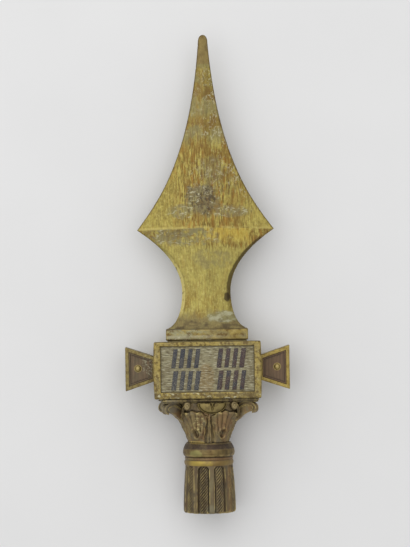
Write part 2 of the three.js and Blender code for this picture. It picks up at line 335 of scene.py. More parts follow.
# %% [markdown]
# ## Blade finish
# The blade is bare brass that has gone olive, and golden low on its waist. It is streaked with brown along
# its length, with grey-green haze on the crease and the middle, a duller tip that ends in a straight line,
# dirt in the root's hollow and a crust of verdigris on its right. Light and shade are painted on as well:
# a highlight on the left bevel of the waist and under the crease on the right, and brown shade on the lower
# right bevel. One noise can't show all that, so each stain and each painted light is a layer of its own
# with its own place, laid in the order it came.

# %% Blade ground
SHOULDER_Y = 196  # the crease across the widest place, at its ends
SHOULDER_HALF = 47.5
CREASE_RISE = 1.4  # how much higher the crease is on the ridge
TIP_MARK_Y = 311.2  # where the dull tip ends

f = Finish("blade_brass")
crease = abs(f.x) * (-CREASE_RISE / SHOULDER_HALF) + (SHOULDER_Y + CREASE_RISE)
above = f.y - crease
upper = above.step(-0.3, 0.3)
lower = 1 - upper
top = f.y.step(252, 262)
soft = f.noise(3.4, 4, 0.62, (1, 1.4, 1), 5)
cloud = f.noise(9, 4, 0.6, (1, 1.5, 1), 31)
f.tone = f.noise(17, 4, 0.6, (1, 1.8, 1)).step(0.36, 0.64).mix(paint(145, 131, 67), paint(161, 148, 77))
f.lay((165, 156, 89), lower * 0.45)
f.lay((124, 110, 60), soft.step(0.5, 0.62) * 0.45)
golden = f.y.step(158, 146) * cloud.step(0.38, 0.56)
f.lay((128, 105, 46), golden * 0.65)
grain = f.noise(1.3, 4, 0.7, (1, 1.7, 1), 11)
calm = 1 - 0.55 * f.band(138, 180, 7)
f.lay((108, 97, 52), grain.step(0.52, 0.62) * calm * 0.55)
f.lay((190, 179, 112), grain.step(0.46, 0.36) * 0.5)
f.note("ground")

# %% [markdown]
# Wiping has left fine dark and pale streaks along the blade, thickest on the middle of its upper part and
# under the crease. Noise that is stretched along the blade draws them better than lines would, because no
# two of them are alike. Towards the tip, cloudy bands of brown and of grey-green follow each other.

# %% Blade streaks
fine = f.noise(0.8, 3, 0.65, (1, 9, 1))
coarse = f.noise(2.2, 3, 0.6, (1, 5, 1), 7)
middle = abs(f.x - 3).step(34, 10)
drips = lower * (above + fine * 8).step(-14, -5) * (0.5 + 0.5 * f.x.step(-2, 3))
amount = (upper * (1 - top * 0.5) * (middle * 0.75 + 0.25)).most(drips).most(0.22)
f.lay((96, 73, 34), fine.step(0.5, 0.6) * amount * 0.9)
f.lay((188, 170, 92), fine.step(0.47, 0.37) * (amount * 0.4 + 0.2))
rust = f.noise(1.9, 3, 0.6, (1, 5, 1), 19).step(0.52, 0.64)
f.lay((144, 104, 42), rust * amount * 0.65)
wash = (cloud * 0.55 + coarse * 0.45).step(0.45, 0.58) * amount
f.lay((116, 86, 40), wash * 0.65)
shaken = f.y + (cloud - 0.5) * 26
brown = shaken.step(286, 289) * shaken.step(298, 295)
brown = brown.most(shaken.step(264, 267) * shaken.step(276, 273))
green = top * (1 - brown) * cloud.step(0.62, 0.46)
f.lay((114, 88, 48), brown * (0.35 + 0.4 * soft.step(0.4, 0.6)))
f.note("streaks")

# %% [markdown]
# Damp has left grey haze: a blotch in the middle with a patch over it, tails to both sides, and a band
# under the crease. Each is a soft spot with an edge made ragged by noise, and its middle is darker.

# %% Blade haze
blotch = f.spot(-2.6, 216.6, 11, 11, 0.8, 6).most(f.spot(4.5, 237.5, 8, 10, 0.6, 6) * 0.45)
tails = f.spot(-16, 209, 10, 5, 0.5, 5).most(f.spot(17, 208.6, 14, 4.2, 0.45, 5))
ragged = f.noise(4.5, 4, 0.6, shift=27).step(0.4, 0.54)
band = f.spot(-15, 192, 28, 6.5, 1.1, 6) * lower * ragged
stain = lower * above.step(-13, -4) * f.noise(2.6, 4, 0.65, (1.3, 1, 1), 67).step(0.53, 0.62)
f.lay((112, 82, 42), stain * 0.6)
veil = f.spot(4, 175, 13, 7, 0.5, 7) * 0.5
haze = (blotch.most(tails * 0.85).most(band).most(veil) * soft.step(0.32, 0.58)).most(green * 0.7)
f.lay((126, 120, 88), haze * 0.62)
dark = blotch.most(band * above.step(-10, -2) * 0.6).most(f.spot(16, 228, 8, 9, 0.6, 5) * 0.5)
dark = dark * (soft * 0.5 + grain * 0.5).step(0.55, 0.43)
f.lay((70, 60, 48), dark * 0.85)
f.note("haze")

# %% [markdown]
# Where the damp dried it left whitish tide lines, long and level in the haze, short and curly above it and
# near the tip. A line runs wherever a noise passes its middle value, which closes on itself as such lines
# do. Then come a painted highlight on the facet just under the crease on the right, a worn line along the
# crease, and the dull tip.

# %% Blade tide lines and tip
broken = f.noise(4, 3, 0.6, shift=43).step(0.46, 0.6)
level = abs(f.noise(3.6, 3, 0.5, (2.4, 0.7, 1), 29) - 0.5).step(0.04, 0.01)
curly = abs(f.noise(2.6, 3, 0.5, (0.8, 1.5, 1), 37) - 0.5).step(0.045, 0.012)
rim = f.attribute("rim")
upward = top * (0.35 + 0.65 * f.x.step(-3, 4)) * f.y.step(TIP_MARK_Y, TIP_MARK_Y - 3)
upward = upward.most(rim.step(7, 3) * f.x.step(2, 6) * f.band(214, 262, 6))
ringed = f.spot(6, 233, 16, 16, 0.4, 7)
chalk = (level * blotch.most(tails).most(band)).most(curly * upward.most(ringed * 0.55)) * broken
f.lay((192, 187, 154), chalk * 0.7)
# Painted highlight: the facet under the crease on the right, lighter where the light falls on it
painted_crease_highlight = lower * above.step(-14, -5) * f.x.step(0, 1.5) * f.x.step(38, 24) * (1 - wash)
f.lay((198, 172, 76), painted_crease_highlight * 0.5)
worn = abs(above - 0.5).step(1.4, 0.2) * f.noise(5, 3, 0.6, (2, 1, 1), 45).step(0.3, 0.55)
f.lay((182, 168, 100), worn * 0.55)
tip = f.y.step(TIP_MARK_Y - 0.15, TIP_MARK_Y + 0.15)
dull_tip = f.noise(3, 4, 0.6, (1, 1.8, 1)).step(0.35, 0.65).mix(paint(116, 98, 56), paint(142, 124, 74))
f.tone = tip.mix(f.tone, dull_tip)
f.note("tide lines and tip")

# %% [markdown]
# The edges have a dark line all round, a painted highlight on the left bevel of the waist, where the light
# falls, and painted brown shade on the lower right bevel, which faces away from it. They follow the blade's
# outline, so they are drawn by the distance from it, which the mesh brings along as an attribute. Dirt and
# verdigris lie where the blade meets its foot.

# %% Blade edges and root
# Painted highlight on the left bevel of the waist, which faces the light
bright = rim.step(2.7, 1.7) * f.band(136, 178, 6) * f.x.step(0, -2) * soft.step(0.32, 0.48)
edge = rim.step(1.1, 0.2) * (0.3 + 0.3 * upper) * (1 - bright)
f.lay((214, 200, 128), bright * 0.75)
# Painted shade, brown, on the lower right bevel, which faces away from the light
uneven = rim + (soft - 0.5) * 2.2
bevel = uneven.step(3.2, 2.3) * f.x.step(0, 2) * f.band(147, 191, 2.5)
f.lay((72, 57, 35), edge.most(bevel * 0.75))
f.lay((60, 48, 32), f.spot(14.3, 149, 2.2, 3.2, 0.3, 2) * 0.85)
low = f.y + (soft - 0.5) * 16
dirt = low.step(141, 132)
f.lay((130, 118, 80), dirt * 0.6)
crust = f.spot(12, 135.5, 11, 4, 0.6, 4)
f.lay((134, 130, 92), crust * 0.7)
pale = f.noise(3.2, 4, 0.65, (1.7, 0.8, 1), 71).step(0.44, 0.6)
f.lay((188, 186, 156), pale * crust * 0.6)
grime = low.step(136, 128.5) * f.noise(5, 4, 0.62, (2, 0.9, 1), 73).step(0.4, 0.6)
f.lay((72, 57, 38), grime * 0.75)
dull = haze.most(chalk).most(dirt).most(crust).most(tip * 0.4)
scratch = fine * 0.5 + coarse * 0.3 + soft * 0.3
blade_brass = f.done(0.48 + dull * 0.15, 0.8 - dull * 0.4, scratch - dull * 0.15, 0.0001)

# %% [markdown]
# ## Spearhead blade
# Each face of the blade is four flat facets round the crossing of a ridge and a crease, with bevelled
# edges. It was cast and then filed. Eight flat faces would do for the form, but not for nicks and a filed
# surface. A box cut into many slices has the right topology already, so each of its points is moved to its
# place on the section of its slice. The outline is two curves up to the shoulder, one along the flank and a
# rounded point.

# %% Blade outline
ROOT_Y = 127.3
ROOT = Vector((27.6, ROOT_Y))
WAIST = Vector((16.8, 153))
SHOULDER = Vector((SHOULDER_HALF, SHOULDER_Y))
NECK = Vector((3.3, 326.5))
POINT_STEPS = 24


def lerp(first, second, t):
    return first + (second - first) * t


def blade_outline():
    """Half widths of the blade and their heights, from its root to its point."""
    curve = geometry.interpolate_bezier  # takes the start, two handles, the end and the count
    points = curve(ROOT, ROOT + Vector((-8.2, 3.2)), WAIST - Vector((0, 10.3)), WAIST, 40)
    points += curve(WAIST, WAIST + Vector((0, 22.2)), SHOULDER - Vector((7.7, 5.3)), SHOULDER, 60)
    points += curve(SHOULDER, SHOULDER + Vector((-12.7, 17.7)), NECK + Vector((6.5, -84.4)), NECK, 100)
    for i in range(1, POINT_STEPS + 1):
        a = i / POINT_STEPS * math.pi / 2
        points.append(Vector((NECK.x * math.cos(a), lerp(NECK.y, LENGTH, math.sin(a)))))
    return np.array([p.x for p in points]), np.array([p.y for p in points])


OUTLINE_HALF, OUTLINE_Y = blade_outline()
print(f"blade outline: {len(OUTLINE_Y)} points, widest {2 * OUTLINE_HALF.max():.1f} mm")

# %% Blade sections
# Heights and half thicknesses along the ridge
RIDGE = ((ROOT_Y, 7.2), (131, 5.6), (139, 4.4), (153, 3.8), (SHOULDER_Y, 6.0), (LENGTH, 1.9))
EDGE_HALF, EDGE_BEVEL, EDGE_RISE = 0.9, 2.8, 1.6
UPPER_BEVEL, UPPER_RISE = 0.5, 0.25  # over the shoulder the bevel almost fades
LEAST_HALF = 0.12
CELLS_ACROSS, BEVEL_CELLS = 40, 2
BEVEL_SHARE = 1 - 2 * BEVEL_CELLS / CELLS_ACROSS


def ramp(value, low, high):
    """Smooth step from 0 at low to 1 at high."""
    t = min(1, max(0, (value - low) / (high - low)))
    return t * t * (3 - 2 * t)


def half_at(y, heights, halves):
    """The half width or half thickness at a height, between the nearest given ones."""
    return float(np.interp(y, heights, halves))


def blade_point(side, y, face):
    """The point at a share of the half width, from -1 to 1, of the front (1), edge (0) or back (-1) at y."""
    half = max(LEAST_HALF, half_at(y, OUTLINE_Y, OUTLINE_HALF))
    lower = ramp(SHOULDER_Y - y, 0, 20)
    ridge = half_at(y, *zip(*RIDGE)) * min(1, half / NECK.x)
    edge = min(EDGE_HALF, 0.6 * ridge)
    bevel = min(lerp(UPPER_BEVEL, EDGE_BEVEL, lower), 0.4 * half)
    shoulder = min(edge + lerp(UPPER_RISE, EDGE_RISE, lower), ridge)
    out = abs(side)
    if out > BEVEL_SHARE:
        t = (out - BEVEL_SHARE) / (1 - BEVEL_SHARE)
        x, z = lerp(half - bevel, half, t), lerp(shoulder, edge, t)
    else:
        t = out / BEVEL_SHARE
        x, z = lerp(0, half - bevel, t), lerp(ridge, shoulder, t)
    return Vector((math.copysign(x, side), y, face * z))


print(f"half thickness at the shoulder {half_at(SHOULDER_Y, *zip(*RIDGE)):.1f} mm")

# %% Blade mesh
CELLS_LOW, CELLS_HIGH, CELLS_TIP = 86, 150, 16
WAVE_DEPTH = 0.07
NICK_FROM, NICK_GAIN, NICK_MOST = 0.42, 1.2, 0.5
STATIONS = (
    list(np.linspace(ROOT_Y - 2, SHOULDER_Y, CELLS_LOW + 1))
    + list(np.linspace(SHOULDER_Y, NECK.y, CELLS_HIGH + 1))[1:]
    + [lerp(NECK.y, LENGTH, math.sin(i / CELLS_TIP * math.pi / 2)) for i in range(1, CELLS_TIP + 1)]
)


def sliced_box(along, across):
    """A two-unit box cut along Y and across X, with one cut round its edge."""
    bm = bmesh.new()
    bmesh.ops.create_cube(bm, size=2)
    for axis, cuts in ((1, along), (0, across), (2, 2)):
        run = [e for e in bm.edges if abs((e.verts[0].co - e.verts[1].co).normalized()[axis]) > 0.9]
        bmesh.ops.subdivide_edges(bm, edges=run, cuts=cuts - 1, use_grid_fill=True)
    return bm


bm = sliced_box(len(STATIONS) - 1, CELLS_ACROSS)
for vert in bm.verts:
    side, slice_share, face = vert.co
    y = STATIONS[round((slice_share + 1) / 2 * (len(STATIONS) - 1))]
    vert.co = blade_point(side, y, face)
    # A hand-filed surface is never quite flat, and thin edges are nicked
    wave = noise.noise(Vector((vert.co.x / 14, y / 22, face * 5))) + 0.5 * noise.noise(vert.co / 6)
    vert.co.z += face * WAVE_DEPTH * wave
    vert.co.y += CREASE_RISE * (1 - abs(side)) * ramp(abs(y - SHOULDER_Y), 22, 0)
    if abs(side) > 0.97:
        nick = max(0, noise.noise(Vector((y / 3.1, side * 7, 1))) - NICK_FROM)
        vert.co.x -= math.copysign(min(NICK_GAIN * nick, NICK_MOST), side)


def above_crease(point):
    """How far above the crease a point lies, along the axis."""
    return point.y - SHOULDER_Y - CREASE_RISE * (1 - abs(point.x) / SHOULDER_HALF)


def on_ridge_or_crease(edge):
    a, b = (v.co for v in edge.verts)
    ridge = abs(a.x) < 1e-3 and abs(b.x) < 1e-3 and abs(a.z) > 1.5
    crease = abs(above_crease(a)) < 1e-2 and abs(above_crease(b)) < 1e-2
    return ridge or crease


blade = piece("blade", bm, blade_brass, rounds=6, keep_sharp=on_ridge_or_crease)
# How far each point lies from the edge, for the finish
rims = []
for vert in blade.data.vertices:
    rims.append(half_at(axial(vert.co.y), OUTLINE_Y, OUTLINE_HALF) - abs(vert.co.x) / MM)
blade.data.attributes.new("rim", "FLOAT", "POINT").data.foreach_set("value", np.array(rims, np.float32))
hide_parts("spear_blade")

# %% [markdown]
# ## Foot of the blade
# The foot is a plain block with worn corners, cast in one with the blade. Joining it to the blade's mesh
# would only complicate both, so it is a cube of its own, scaled, with its edges bevelled. It is cut fine
# enough for wear to be measured, and its surface wanders a little, as a cast surface does.

# %% Foot finish
def foot_finish():
    f = Finish("foot_brass")
    f.tone = f.noise(9, 4).step(0.38, 0.62).mix(paint(146, 128, 72), paint(132, 120, 82))
    green = f.noise(5, 4, 0.65, (1.4, 1, 1), 4).step(0.38, 0.52) * f.x.step(8, -8)
    f.lay((150, 147, 115), green * 0.8)
    brown = f.noise(3.4, 4, 0.65, (1.2, 1, 1), 8)
    f.lay((94, 70, 38), brown.step(0.49, 0.64) * 0.85)
    f.lay((176, 158, 98), brown.step(0.44, 0.34) * 0.5)
    worn = f.attribute("wear").step(0.03, 0.14) * f.noise(6, 3, 0.6, shift=15).step(0.4, 0.62)
    f.lay((178, 158, 92), worn * 0.6)
    strip = f.band(FOOT_LOW + 1.4, FOOT_LOW + 3.4, 0.5) * f.noise(4, 3, 0.6, (2, 1, 1), 25).step(0.34, 0.56)
    f.lay((176, 170, 142), strip * (0.12 + 0.38 * f.x.step(14, -4)))
    # Along the foot's lower edge, by the higher tablet, painted shade with dirt; along its top, a line of
    # dirt under the blade's root
    dirt = f.y.step(FOOT_LOW + 1.6, FOOT_LOW + 0.5).most(f.y.step(ROOT_Y - 1.2, ROOT_Y - 0.2))
    f.lay((84, 70, 48), dirt * 0.6)
    speck = f.noise(1.5, 3, 0.6, (1.5, 1, 1), 21).step(0.56, 0.66)
    chalk = speck * f.y.step(FOOT_LOW + 5.5, FOOT_LOW + 1.5) * f.x.step(12, -2)
    f.lay((196, 192, 164), chalk * 0.75)
    return f.done(0.5 + dirt * 0.2, 0.9 - dirt * 0.4, f.noise(2, 4, 0.6), 0.00015)


foot_brass = foot_finish()

# %% Foot mesh
FOOT_SIZE = Vector((56.8, ROOT_Y - FOOT_LOW, 19))
FOOT_CORNER = 0.8


def round_edges(bm, edges, offset, segments):
    bmesh.ops.bevel(
        bm, geom=edges, offset=offset, affect="EDGES", segments=segments, profile=0.5, material=-1
    )


def block(centre, size, corner, segments):
    """A box with rounded edges."""
    bm = bmesh.new()
    bmesh.ops.create_cube(bm, size=1)
    bmesh.ops.scale(bm, vec=size, verts=bm.verts)
    bmesh.ops.translate(bm, vec=centre, verts=bm.verts)
    round_edges(bm, bm.edges, corner, segments)
    return bm


def refine(bm, longest, most=7):
    """Halves every edge longer than that, again and again, so that wear has points to lie on."""
    for _ in range(most):
        run = [e for e in bm.edges if e.calc_length() > longest]
        if not run:
            break
        bmesh.ops.subdivide_edges(bm, edges=run, cuts=1, use_grid_fill=True)


def roughen(bm, size, depth, seed):
    """Moves every point a little along its normal by a smooth noise, as a cast surface wanders."""
    bm.normal_update()
    moves = [v.normal * depth * noise.noise(v.co / size + Vector((seed, seed, seed))) for v in bm.verts]
    for vert, move in zip(bm.verts, moves):
        vert.co += move


bm = block(Vector((0, (ROOT_Y + FOOT_LOW) / 2, 0)), FOOT_SIZE, FOOT_CORNER, 3)
refine(bm, 1.2)
roughen(bm, 6, 0.08, 1)
piece("foot", bm, foot_brass, rounds=8)

# %% [markdown]
# ## Tablet finishes
# The tablet's frame is rubbed bright on its edges and spotted with brown. The sunk field is grey-green with
# dirt in its fine lines. Frame and field share one material, because the border between them is a place
# that the shader can work out: inside the field's edges and below the frame's face.

# %% Tablet finishes
FIELD_HALF = (32.3, 15.95)
FIELD_MID = 99.95
FIELD_DEPTH = 1.6


def frame_tone(f, seed):
    """Lays worn brass with brown patches, bright edges and dark hollows, and returns the hollows' mask."""
    cloud = f.noise(7, 4, 0.62, shift=seed)
    f.tone = cloud.step(0.36, 0.62).mix(paint(148, 132, 75), paint(132, 119, 79))
    brown = f.noise(2.6, 4, 0.65, shift=seed + 3)
    f.lay((92, 73, 42), brown.step(0.5, 0.6) * 0.75)
    f.lay((166, 150, 94), brown.step(0.44, 0.34) * 0.6)
    speck = f.noise(1.4, 4, 0.65, shift=seed + 6)
    f.lay((78, 64, 42), speck.step(0.58, 0.66) * 0.6)
    f.lay((176, 168, 130), speck.step(0.4, 0.33) * 0.55)
    wear = f.attribute("wear")
    rubbed = wear.step(0.03, 0.16) * brown.step(0.6, 0.4)
    f.lay((170, 148, 84), rubbed * 0.5)
    dirt = wear.step(-0.04, -0.2)
    f.lay((70, 58, 41), dirt * 0.85)
    return dirt


def tablet_finish():
    f = Finish("tablet_brass")
    dirt = frame_tone(f, 2)
    low_rail = f.y.step(FIELD_MID - 15, FIELD_MID - 17)
    f.lay((94, 80, 52), low_rail * f.noise(4, 4, 0.65, (1.4, 1, 1), 35).step(0.46, 0.56) * 0.7)
    f.lay((190, 186, 156), low_rail * f.noise(1.8, 3, 0.6, (1.6, 1, 1), 36).step(0.58, 0.66) * 0.7)
    # Painted shade: a dark strip along the tablet's top edge, by the foot
    f.lay((96, 88, 66), f.y.step(118.2, 118.8) * 0.7)
    half_width, half_height = FIELD_HALF
    inside = abs(f.x).step(half_width, half_width - 0.4)
    inside = inside * abs(f.y - FIELD_MID).step(half_height, half_height - 0.4)
    inside = inside * f.z.step(TABLET_HALF_DEPTH - 0.5, TABLET_HALF_DEPTH - 0.9) * f.z.step(0, 1)
    field = f.noise(5, 4, 0.6, (1.6, 1, 1), 31).step(0.35, 0.65)
    field = field.mix(paint(146, 139, 108), paint(124, 114, 84))
    field = (f.spot(-1, 93, 6, 11, 0.5, 5) * 0.45).mix(field, paint(140, 112, 62))
    lines = f.noise(0.9, 3, 0.6, (4, 0.8, 1), 33)
    field = (lines.step(0.53, 0.63) * 0.7).mix(field, paint(188, 184, 160))
    field = (lines.step(0.46, 0.37) * 0.75).mix(field, paint(80, 72, 54))
    groove = f.attribute("wear").step(0.0, -0.05)
    field = (groove * 0.6).mix(field, paint(84, 77, 60))
    # Painted shade: the field darkens within a millimetre of its edges, under the border's walls
    edge_x = half_width - abs(f.x)
    edge_y = half_height - abs(f.y - FIELD_MID)
    field = (edge_x.least(edge_y).step(1.2, 0.2) * 0.75).mix(field, paint(80, 72, 56))
    f.tone = inside.mix(f.tone, field)
    dull = inside.most(dirt)
    return f.done(0.48 + dull * 0.15, 0.85 - dull * 0.45, f.noise(1.4, 4, 0.65), 0.00015)


tablet_brass = tablet_finish()

# %% [markdown]
# ## Tablet
# The tablet is a box with rounded edges. Its sides swell a little in the middle and draw in towards the
# back, on which the finial lies and which is plain. The frame could be four mitred bars, but on a casting
# it has no joints, so the front face is inset to a border and pushed in. A low pad closes the gap that the
# drawn-in side leaves under the blade's foot.

# %% Tablet block
TABLET_HALF_WIDTH = 37.2
TABLET_SWELL = 0.5
TABLET_DRAFT = 1.4  # how much the sides draw in towards the back
TABLET_CORNER = 1.0
FIELD_EDGE = 0.35  # the frame's inner edge is rounded over this much
PAD_SIZE = Vector((55, 2.1, 17.6))


def front_face(bm):
    return max(bm.faces, key=lambda face: face.calc_center_median().z)


def tablet_mesh():
    bm = bmesh.new()
    bmesh.ops.create_cube(bm, size=2)
    size = Vector((TABLET_HALF_WIDTH - TABLET_SWELL, (TABLET_HIGH - TABLET_LOW) / 2, TABLET_HALF_DEPTH))
    bmesh.ops.scale(bm, vec=size, verts=bm.verts)
    round_edges(bm, bm.edges, TABLET_CORNER, 3)
    # The front inside the rounded edge is one face: a border is left round it and the rest sunk
    field = front_face(bm)
    bmesh.ops.translate(bm, vec=(0, TABLET_MID, 0), verts=bm.verts)
    for shrink, depth in ((0, 0), (0.3, 0.12), (0.25, FIELD_DEPTH), (0.3, FIELD_DEPTH + 0.1)):
        bmesh.ops.inset_individual(bm, faces=[field], thickness=0.5, use_even_offset=True)
        for vert in field.verts:
            vert.co.x = math.copysign(FIELD_HALF[0] + FIELD_EDGE - shrink, vert.co.x)
            vert.co.y = FIELD_MID + math.copysign(FIELD_HALF[1] + FIELD_EDGE - shrink, vert.co.y - FIELD_MID)
            vert.co.z = TABLET_HALF_DEPTH - depth
    refine(bm, 0.9)
    for vert in bm.verts:
        rise = (vert.co.y - TABLET_MID) / (TABLET_HIGH - TABLET_MID)
        draw = 1 - TABLET_DRAFT * (1 - vert.co.z / TABLET_HALF_DEPTH) / 2 / TABLET_HALF_WIDTH
        vert.co.x *= draw
        vert.co.y = TABLET_MID + (vert.co.y - TABLET_MID) * (2 * draw - 1)
        if abs(vert.co.x) > FIELD_HALF[0] + 1:
            vert.co.x += math.copysign(TABLET_SWELL * (1 - rise * rise), vert.co.x)
    roughen(bm, 7, 0.1, 3)
    return bm


tablet = piece("tablet_block", tablet_mesh(), tablet_brass, rounds=10)
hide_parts("tablet")
bm = block(Vector((0, TABLET_HIGH - 0.9, 0)), PAD_SIZE, 0.3, 2)
refine(bm, 1.2)
piece("foot_pad", bm, tablet_brass, rounds=4)

# %% [markdown]
# ## Lined floor
# The floor of the sunk field carries fine engraved lines, drawn by hand along a rule and so a little
# unsteady. A bump would only shade them, and they also have to hold dirt, which follows the measured wear.
# So they are real: a grid that lies a hair above the block's own floor, with a shallow round groove for
# each line.

# %% Lined floor
LINE_PITCH = 1.07
LINE_DEPTH = 0.16
FLOOR_COLUMNS, FLOOR_ROWS = 60, 174
FLOOR_MARGIN, FLOOR_LIFT, FLOOR_WANDER = 0.1, 0.25, 0.06


def ripple(value, pitch):
    """Waves between 0 and 1, with a trough wherever the value is a multiple of the pitch."""
    return 0.5 - 0.5 * math.cos(2 * math.pi * value / pitch)


def lined_floor():
    bm = bmesh.new()
    bmesh.ops.create_grid(bm, x_segments=FLOOR_COLUMNS, y_segments=FLOOR_ROWS, size=1)
    half_width, half_height = FIELD_HALF[0] - FLOOR_MARGIN, FIELD_HALF[1] - FLOOR_MARGIN
    for vert in bm.verts:
        x, y = vert.co.x * half_width, vert.co.y * half_height
        wander = noise.noise(Vector((x / 9, y / 5, 2)))
        groove = ripple(y + 0.15 * wander, LINE_PITCH)
        z = TABLET_HALF_DEPTH - FIELD_DEPTH + FLOOR_LIFT - LINE_DEPTH * groove**2 + FLOOR_WANDER * wander
        vert.co = Vector((x, FIELD_MID + y, z))
    return bm


piece("lined_floor", lined_floor(), tablet_brass, rounds=3)

# %% [markdown]
# ## Painted strokes
# The field holds two worn patches of paint, one blue-black and one red-brown. Thick paint stands a little
# proud of the lines it covers, so each patch is rows of thin slanting bars with rounded tops, and not a
# colour on the floor.

# %% Stroke finishes
def paint_finish(name, dark, other, seed):
    f = Finish(name)
    f.tone = f.noise(5, 3, 0.6, shift=seed).step(0.4, 0.62).mix(paint(*dark), paint(*other))
    worn_corner = f.y.step(99, 86) * f.x.step(4, -6)
    lost = (f.noise(0.5, 3, 0.6, (1.5, 1, 1), seed + 5) + 0.06 * worn_corner).step(0.54, 0.66)
    f.lay((152, 148, 126), lost * 0.55)
    return f.done(0.6, 0.2, f.noise(0.9, 3, 0.6), 0.0001)


blue_black = paint_finish("blue_black_paint", (44, 46, 55), (66, 64, 64), 41)
red_brown = paint_finish("red_brown_paint", (66, 48, 45), (50, 47, 52), 47)

# %% Strokes
STROKE_ROWS, STROKES_IN_ROW = 2, 4
STROKE_WIDTH, STROKE_HEIGHT, STROKE_LEAN, STROKE_RISE = 3.1, 13.2, 0.14, 0.34
STROKE_CORNER = 0.22
ROW_PITCH, STROKE_PITCH = 15.2, 5.2


def strokes(middle_x, seed):
    """Rows of slanting bars round a middle, each a little different in width."""
    bm = bmesh.new()
    base = TABLET_HALF_DEPTH - FIELD_DEPTH + 0.2
    for row in range(STROKE_ROWS):
        for column in range(STROKES_IN_ROW):
            width = STROKE_WIDTH + 0.7 * noise.noise(Vector((row * 3.7, column * 5.3, seed)))
            x = middle_x + (column - (STROKES_IN_ROW - 1) / 2) * STROKE_PITCH
            y = FIELD_MID - 0.2 + (row - (STROKE_ROWS - 1) / 2) * ROW_PITCH
            made = bmesh.ops.create_cube(bm, size=1)["verts"]
            bmesh.ops.scale(bm, vec=(width, STROKE_HEIGHT, 2 * STROKE_RISE), verts=made)
            for vert in made:
                vert.co.x += STROKE_LEAN * vert.co.y
            bmesh.ops.translate(bm, vec=(x, y, base), verts=made)
    round_edges(bm, bm.edges, STROKE_CORNER, 2)
    return bm


for name, middle_x, finish in (("strokes_left", -14.8, blue_black), ("strokes_right", 16.4, red_brown)):
    piece(name, strokes(middle_x, middle_x), finish, rounds=3)

# %% [markdown]
# ## Ears
# Each ear is a dovetail: narrow at the tablet, wide outside. A box would have to be tapered first, so its
# outline is one face of four corners that is extruded. Its front is inset twice and pushed in for a stepped
# border. The sunk field has fine upright lines and a domed boss. The left ear is the right one mirrored,
# with darker brass.

# %% Ear finish
EAR_REACH = 56.9
EAR_HALF_DEPTH = 7.5
EAR_IN, EAR_OUT = 8.7, 15.3
EAR_BORDER, EAR_RECESS = 2.3, 1.2
EAR_MID = 99.9
EAR_SLOPE = (EAR_OUT - EAR_IN) / (EAR_REACH - TABLET_HALF_WIDTH)
BOSS_X, BOSS_Y, BOSS_RADIUS, BOSS_RISE = 48.2, 100.3, 2.3, 1.9


def ear_finish():
    f = Finish("ear_brass")
    dirt = frame_tone(f, 12)
    right = f.x.step(-5, 5)
    f.lay((108, 96, 64), (1 - right) * 0.4)
    f.lay((172, 146, 68), right * 0.3)
    boss = ((abs(f.x) - BOSS_X) * (abs(f.x) - BOSS_X) + (f.y - BOSS_Y) * (f.y - BOSS_Y)).step(7.3, 6.2)
    sunk = f.z.step(EAR_HALF_DEPTH - 0.7, EAR_HALF_DEPTH - 1.0) * f.z.step(2, 4) * (1 - boss)
    sunk = sunk * abs(f.x).step(EAR_REACH - 1.2, EAR_REACH - 1.6)
    inside = (abs(f.x) - TABLET_HALF_WIDTH) * EAR_SLOPE + EAR_IN - abs(f.y - EAR_MID)
    sunk = sunk * inside.step(1.0, 1.5)
    hollow = f.noise(3, 4, 0.6, (1, 2, 1), 14).step(0.35, 0.65).mix(paint(118, 99, 76), paint(104, 92, 70))
    hollow = (right * 0.4).mix(hollow, paint(116, 86, 66))
    hollow = (f.attribute("wear").step(-0.01, -0.06) * 0.8).mix(hollow, paint(66, 54, 44))
    f.tone = sunk.mix(f.tone, hollow)
    # Painted highlight on the top of the boss
    f.lay((176, 158, 104), boss * f.z.step(5, 6) * 0.7)
    chalk = f.spot(-41.5, 103, 4, 8, 0.5, 3) * f.noise(1.5, 3, 0.6, shift=17).step(0.5, 0.6)
    f.lay((170, 166, 140), chalk * 0.6)
    dull = sunk.most(dirt)
    return f.done(0.46 + dull * 0.15, 0.85 - dull * 0.35, f.noise(1.2, 4, 0.65), 0.00012)


ear_brass = ear_finish()

# %% Ear mesh
EAR_ROOT = TABLET_HALF_WIDTH - 1.5
EAR_CORNER, EAR_STEP = 0.5, 0.35
EAR_FLOOR = EAR_HALF_DEPTH - EAR_RECESS - EAR_STEP


def ear_half(x):
    return EAR_IN + EAR_SLOPE * (x - TABLET_HALF_WIDTH)


